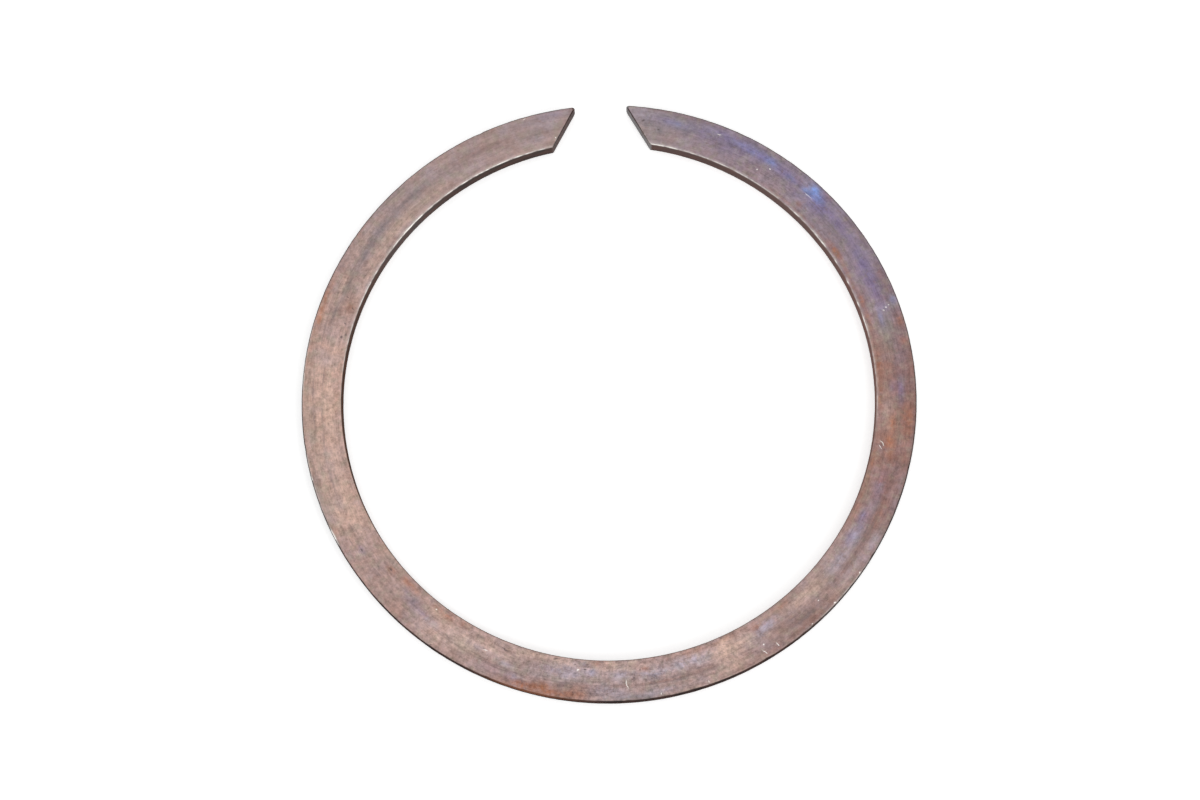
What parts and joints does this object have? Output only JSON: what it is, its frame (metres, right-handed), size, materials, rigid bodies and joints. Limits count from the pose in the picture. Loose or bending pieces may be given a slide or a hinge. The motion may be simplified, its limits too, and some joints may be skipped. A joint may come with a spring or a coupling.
{
  "type": "retaining ring",
  "caption": "Flat spring-steel wire ring of one section all round, for a groove in a housing bore, open at a gap between two slanted ends that run out to blunt points.",
  "frame": {"origin": "the ring's axis, in the plane of its lower face", "axes": "+Z along the ring's axis, out of its upper face; +Y from the axis through the middle of the gap; +X to the right"},
  "size_m": [0.108, 0.1078, 0.003],
  "materials": {
    "oxidised_spring_steel": "satin, heat-tinted pinkish brown with violet and blue patches and a little rust"
  },
  "bodies": {
    "root": {"retaining_ring": "oxidised_spring_steel"}
  },
  "joints": []
}
